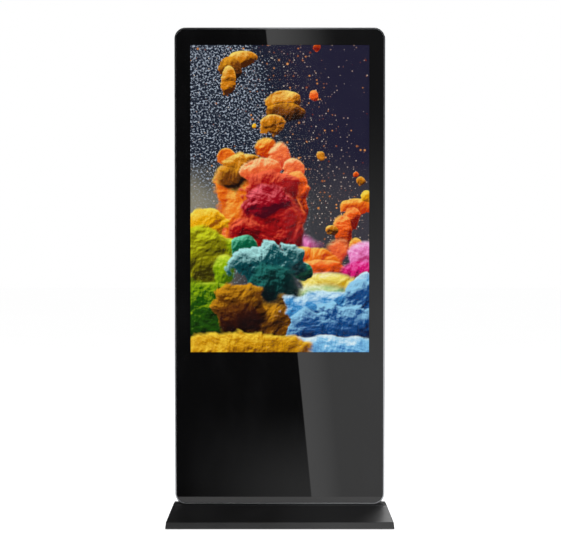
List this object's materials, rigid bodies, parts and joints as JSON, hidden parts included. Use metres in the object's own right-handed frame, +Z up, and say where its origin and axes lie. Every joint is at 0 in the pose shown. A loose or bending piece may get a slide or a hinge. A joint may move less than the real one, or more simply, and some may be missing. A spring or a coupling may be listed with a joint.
{
  "type": "touchscreen kiosk",
  "caption": "Free-standing portrait touchscreen kiosk: slim black glass-fronted body with rounded corners on a flat flared base, with a lockable rear service door.",
  "frame": {"origin": "on the floor under the middle of the base", "axes": "+Z up, the screen faces -Y, +X to the right of a person facing the screen"},
  "size_m": [0.85, 0.42, 1.88],
  "materials": {
    "powder_coat": "fine satin black powder coat",
    "anodised_trim": "satin anodised",
    "front_glass": "polished dark glass",
    "black_ink": "printed on the back of the glass",
    "clear_film": "clear sensor film",
    "foam_tape": "foam tape",
    "screen_picture": "lit display",
    "white_sheet": "diffuser sheet",
    "zinc_plate": "zinc plated",
    "circuit_board": "solder mask",
    "box_steel": "grey sheet steel",
    "socket_shell": "bright plated",
    "black_plastic": "moulded",
    "rocker_red": "moulded",
    "foot_rubber": "moulded rubber pad on a steel stud",
    "dark_hardware": "blackened",
    "lead_jacket": "cable jacket"
  },
  "bodies": {
    "kiosk": {"base_plate": "powder_coat", "base_cover": "powder_coat", "base_fasteners": "zinc_plate", "post_feet": "powder_coat", "post_left": "powder_coat", "post_right": "powder_coat", "side_frame": "powder_coat", "trim_frame": "anodised_trim", "rear_panel": "powder_coat", "panel_screws": "dark_hardware", "crossbars": "zinc_plate", "front_glass": "front_glass", "printed_border": "black_ink", "touch_film": "clear_film", "glass_tape": "foam_tape", "lcd_bezel": "zinc_plate", "lcd_cell": "screen_picture", "optical_sheets": "white_sheet", "backlight_tray": "zinc_plate", "led_strips": "circuit_board", "timing_board": "circuit_board", "led_driver_board": "circuit_board", "board_spacers": "zinc_plate", "touch_controller": "circuit_board", "equipment_tray": "zinc_plate", "media_box": "box_steel", "media_board": "circuit_board", "power_supply": "box_steel", "amplifier_board": "circuit_board", "port_plate": "box_steel", "port_sockets": "socket_shell", "button_housing": "black_plastic", "inlet_plate": "box_steel", "power_inlet": "black_plastic", "switch_housing": "black_plastic", "fan_frame_left": "black_plastic", "fan_frame_right": "black_plastic", "speaker_left": "black_plastic", "speaker_right": "black_plastic", "door_seal": "foam_tape", "hinge_frame_leaves": "dark_hardware", "hinge_pins": "zinc_plate", "mains_lead": "lead_jacket", "display_cable": "lead_jacket", "low_voltage_leads": "lead_jacket"},
    "door": {"service_door": "powder_coat", "hinge_door_leaves": "dark_hardware", "lock_housings": "zinc_plate"},
    "lock_upper": {"lock_barrel_upper": "socket_shell", "lock_cam_upper": "zinc_plate"},
    "lock_lower": {"lock_barrel_lower": "socket_shell", "lock_cam_lower": "zinc_plate"},
    "rocker": {"power_rocker": "rocker_red"},
    "button": {"power_button": "socket_shell"},
    "rotor_left": {"fan_rotor_left": "black_plastic"},
    "rotor_right": {"fan_rotor_right": "black_plastic"},
    "foot_front_left": {"foot_front_left": "foot_rubber"},
    "foot_front_right": {"foot_front_right": "foot_rubber"},
    "foot_rear_left": {"foot_rear_left": "foot_rubber"},
    "foot_rear_right": {"foot_rear_right": "foot_rubber"}
  },
  "joints": [
    {"name": "door_hinge", "type": "hinge", "parent": "kiosk", "child": "door", "pos_m": [-0.211, 0.029, 0.39], "axis": [0, 0, 1], "range_deg": [0, 110]},
    {"name": "upper_lock_turn", "type": "hinge", "parent": "door", "child": "lock_upper", "pos_m": [0.182, 0.025, 0.525], "axis": [0, 1, 0], "range_deg": [0, 90]},
    {"name": "lower_lock_turn", "type": "hinge", "parent": "door", "child": "lock_lower", "pos_m": [0.182, 0.025, 0.255], "axis": [0, 1, 0], "range_deg": [0, 90]},
    {"name": "rocker_tip", "type": "hinge", "parent": "kiosk", "child": "rocker", "pos_m": [0.302, 0.0225, 0.131], "axis": [-1, 0, 0], "range_deg": [0, 16]},
    {"name": "button_press", "type": "slide", "parent": "kiosk", "child": "button", "axis": [0, -1, 0], "range_m": [0, 0.0015], "stiffness_N_per_m": 400},
    {"name": "left_fan_spin", "type": "hinge", "parent": "kiosk", "child": "rotor_left", "pos_m": [-0.15, 0.0155, 1.64], "axis": [0, 1, 0], "continuous": true},
    {"name": "right_fan_spin", "type": "hinge", "parent": "kiosk", "child": "rotor_right", "pos_m": [0.15, 0.0155, 1.64], "axis": [0, 1, 0], "continuous": true},
    {"name": "front_left_foot_screw", "type": "slide", "parent": "kiosk", "child": "foot_front_left", "axis": [0, 0, -1], "range_m": [0, 0.01]},
    {"name": "front_right_foot_screw", "type": "slide", "parent": "kiosk", "child": "foot_front_right", "axis": [0, 0, -1], "range_m": [0, 0.01]},
    {"name": "rear_left_foot_screw", "type": "slide", "parent": "kiosk", "child": "foot_rear_left", "axis": [0, 0, -1], "range_m": [0, 0.01]},
    {"name": "rear_right_foot_screw", "type": "slide", "parent": "kiosk", "child": "foot_rear_right", "axis": [0, 0, -1], "range_m": [0, 0.01]}
  ]
}
